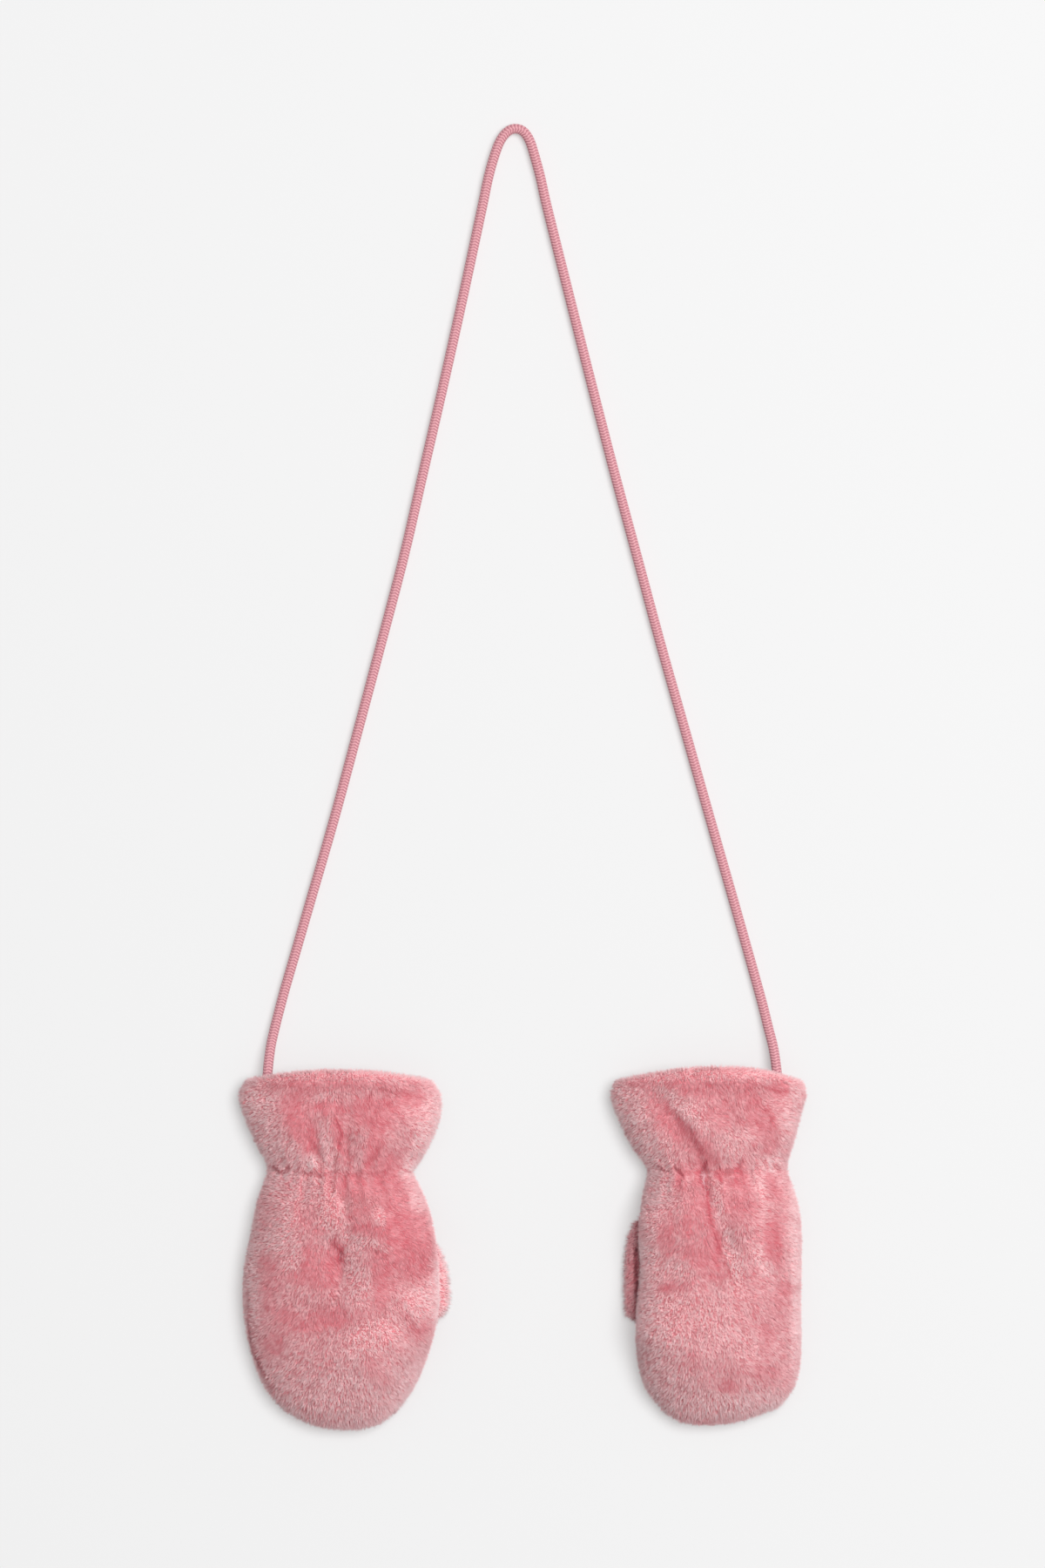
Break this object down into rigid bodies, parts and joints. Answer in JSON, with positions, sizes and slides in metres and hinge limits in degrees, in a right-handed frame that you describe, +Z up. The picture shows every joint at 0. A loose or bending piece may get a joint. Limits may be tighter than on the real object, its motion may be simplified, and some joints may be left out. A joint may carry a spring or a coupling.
{
  "type": "pair of baby mittens on a neck cord",
  "caption": "Plush baby mittens laid flat palm down, with gathered elastic wrists, flared hemmed cuffs and a braided neck cord sewn into both cuffs.",
  "frame": {"origin": "on the surface that the mittens lie on, under the middle of the box that both mittens fill without the cord", "axes": "+X across the pair from the left mitten to the right one, +Y from the fingertips to the cuffs and the cord, +Z up"},
  "size_m": [0.2349, 0.5391, 0.0234],
  "materials": {
    "plush": "soft short pile with patches of turned nap",
    "cord": "round braid with a slight sheen"
  },
  "bodies": {
    "root": {"left_back": "plush", "left_palm": "plush", "left_thumb_inner": "plush", "left_thumb_outer": "plush", "right_back": "plush", "right_palm": "plush", "right_thumb_inner": "plush", "right_thumb_outer": "plush", "neck_cord": "cord"}
  },
  "joints": []
}
